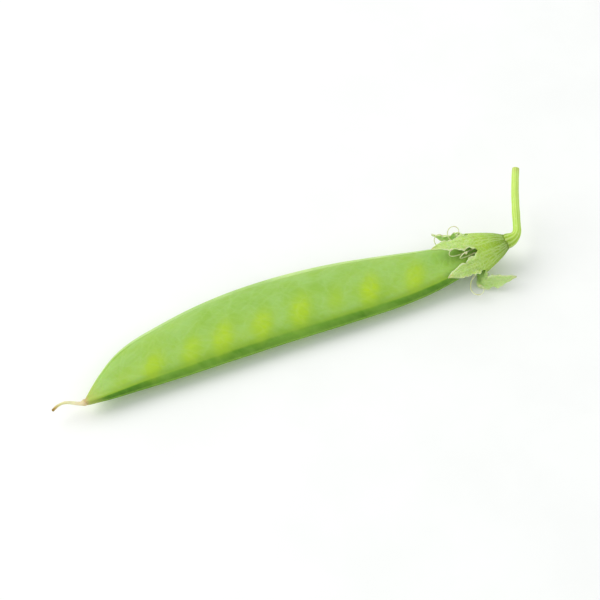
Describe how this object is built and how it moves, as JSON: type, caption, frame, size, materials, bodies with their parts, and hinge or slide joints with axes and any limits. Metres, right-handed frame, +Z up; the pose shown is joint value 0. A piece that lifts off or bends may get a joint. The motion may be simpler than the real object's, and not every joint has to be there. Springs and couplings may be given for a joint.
{
  "type": "snow pea pod",
  "caption": "Flat curved pea pod lying on its side, with low swellings over its peas, a lobed calyx, a bent stalk, and dried style and stamens.",
  "frame": {"origin": "centre of the small flat spot on the pod's lower flank that it rests on, under the object's weight", "axes": "+Z up off the surface, through the pod's thickness; +X along the pod from its beak to its stalk; +Y across it, from the straight seam that the peas hang from to the curved seam"},
  "size_m": [0.1043, 0.0206, 0.0121],
  "materials": {
    "pod": "satin green skin with a faint waxy bloom",
    "calyx": "matte pale yellow-green leaf",
    "stalk": "satin yellow-green stem",
    "stamens": "dry pale threads",
    "style": "dry cream thread"
  },
  "bodies": {
    "root": {"pod": "pod", "calyx": "calyx", "stalk": "stalk", "stamens": "stamens", "style": "style"}
  },
  "joints": []
}
